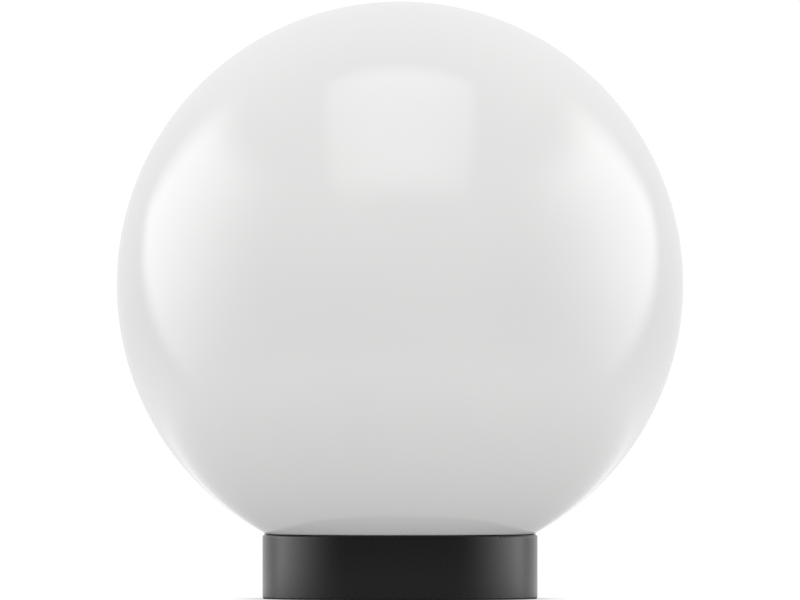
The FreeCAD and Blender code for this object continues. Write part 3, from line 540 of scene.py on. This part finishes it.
finishes = {
    "blackPolypropyleneMoulded": ["base_housing"],
    "blackEpdmRubberMoulded": ["foot_seal", "cable_grommet", "globe_seal"],
    "zincPlatedSteelPressed": ["lampholder_bracket"],
    "zincPlatedSteelHeaded": [
        "bracket_screws", "holder_screws", "terminal_block_screws", "block_fixing_screw"],
    "brassStripRolled": ["centre_contact", "shell_contact"],
    "brassTurned": ["terminal_clamps", "terminal_clamp_screws"],
    "tinSolderSet": ["lamp_contact"],
    "copperStranded": ["lead_ends"],
    "polyamideNaturalMoulded": ["terminal_block"],
    "brownSiliconeExtruded": ["live_lead"],
    "blueSiliconeExtruded": ["neutral_lead"],
    "blackGlassPoured": ["lamp_insulator"],
    "opalPolycarbonateFrosted": ["lamp_dome"],
}
for name, nodes in finishes.items():
    paint(finish(name), *nodes)
paint(newMaterial("opalAcrylicBlown", opal, opalGround), "globe")
paint(newMaterial("porcelainGlazed", porcelain, porcelainGround), "lampholder_body")
paint(newMaterial("ledPhosphorGel", chips, chipGround), "leds")
paint(newMaterial("circuitBoardWhiteMask", board, boardGround), "led_board")
paint(newMaterial("circuitBoardWithParts", driver, driverGround), "driver_board")
print("materials ready")


turned = {
    "steps": 96,                # round the axis
    "cornerSteps": 2,
    "sharpFrom": 40,            # degrees
}


def turnOutline(outline, rounding):
    # a closed outline of (radius, height) points in millimetres, its corners rounded, turned about Z
    bm = bmesh.new()
    points = [bm.verts.new((radius * mm, 0, height * mm)) for radius, height in outline]
    for start, end in zip(points, points[1:] + points[:1]):
        bm.edges.new((start, end))
    bmesh.ops.bevel(bm, geom=points, offset=rounding * mm, offset_type="OFFSET", affect="VERTICES",
                    segments=turned["cornerSteps"], profile=0.5, material=-1)
    bmesh.ops.spin(bm, geom=bm.verts[:] + bm.edges[:], cent=(0, 0, 0), axis=(0, 0, 1), dvec=(0, 0, 0),
                   angle=2 * math.pi, steps=turned["steps"], use_merge=True)
    bmesh.ops.recalc_face_normals(bm, faces=bm.faces[:])
    return bm


screwThread = {
    "pitch": 25.4 / 7 * mm,
    "height": 1.1 * mm,         # from root to crest
    "row": 0.3 * mm,            # how closely the rows of the rolled walls lie
    "fade": 1.6 * mm,           # how far the thread takes to die out
    "wall": 0.9,                # edges longer than this share of the threaded height are its walls
}


def rollThread(bm, low, high, bias):
    # rows the walls, then rolls them to a right-hand thread, out of the wall at bias 1 and into it at -1
    longest = (high - low) * screwThread["wall"]
    walls = [edge for edge in bm.edges if abs(edge.verts[0].co.z - edge.verts[1].co.z) > longest]
    cuts = round(walls[0].calc_length() / screwThread["row"])
    bmesh.ops.subdivide_edges(bm, edges=walls, cuts=cuts, use_grid_fill=True)
    for vert in bm.verts:
        share = min((vert.co.z - low) / screwThread["fade"], (high - vert.co.z) / screwThread["fade"], 1.0)
        if share > 0:
            radius = math.hypot(vert.co.x, vert.co.y)
            turn = math.atan2(vert.co.y, vert.co.x)
            wave = math.cos(2 * math.pi * vert.co.z / screwThread["pitch"] - turn) + bias
            eased = share * share * (3 - 2 * share)
            grown = 1 + screwThread["height"] / 2 * wave * eased / radius
            vert.co.x *= grown
            vert.co.y *= grown


def addPiece(name, bm, material, body, node):
    mesh = bpy.data.meshes.new(name)
    for face in bm.faces:
        face.smooth = True
    bm.to_mesh(mesh)
    bm.free()
    mesh.set_sharp_from_angle(angle=math.radians(turned["sharpFrom"]))
    mesh.materials.append(material)
    piece = bpy.data.objects.new(name, mesh)
    bpy.context.scene.collection.objects.link(piece)
    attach(piece, body)
    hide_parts(node)


lampCap = {
    # an E27 cap: rolled in over the glass at its foot, threaded, and plain where it grips the housing
    "outline": [(9.45, 39.7), (10.2, 39.7), (12.1, 41.6), (12.1, 58.4), (13.2, 59.6), (13.2, 63.3),
                (12.8, 63.3), (12.8, 59.8), (11.7, 58.6), (11.7, 41.8), (10.0, 40.2), (9.45, 40.2)],
    "rounding": 0.12,
    "thread": (42.0 * mm, 58.0 * mm),
}

holderShell = {
    # the holder's screw shell: a flange to sit on, a thread 0.2 mm clear of the cap's, a flared mouth
    "outline": [(11.0, 34.2), (13.95, 34.2), (13.95, 55.9), (15.2, 57.5), (14.6, 57.5), (13.4, 56.1),
                (13.4, 34.8), (11.0, 34.8)],
    "rounding": 0.12,
    "thread": (35.8 * mm, 55.6 * mm),
}

lampHousing = {
    # the lamp's white body: its neck stands inside the cap's thread, then it flares to a ledge for the dome
    "outline": [(10.0, 52.3), (11.55, 52.3), (11.55, 58.5), (12.7, 59.9), (12.7, 63.3), (14.1, 63.3),
                (14.3, 67.3), (19.2, 82.0), (27.0, 96.0), (27.0, 101.0), (25.4, 101.0), (25.4, 97.0),
                (23.4, 97.0), (17.6, 82.0), (12.6, 68.3), (11.15, 65.3), (11.15, 60.5), (10.0, 59.1)],
    "rounding": 0.25,
}

cap = turnOutline(lampCap["outline"], lampCap["rounding"])
rollThread(cap, *lampCap["thread"], 1)
addPiece("lampCapThreaded", cap, finish("aluminiumRolled"), "lamp", "lamp_cap")

shell = turnOutline(holderShell["outline"], holderShell["rounding"])
rollThread(shell, *holderShell["thread"], -1)
addPiece("lampholderShellThreaded", shell, finish("brassNickelPlated"), "base", "lampholder_shell")

housing = turnOutline(lampHousing["outline"], lampHousing["rounding"])
addPiece("lampHousingMoulded", housing, finish("whitePbtMoulded"), "lamp", "lamp_housing")
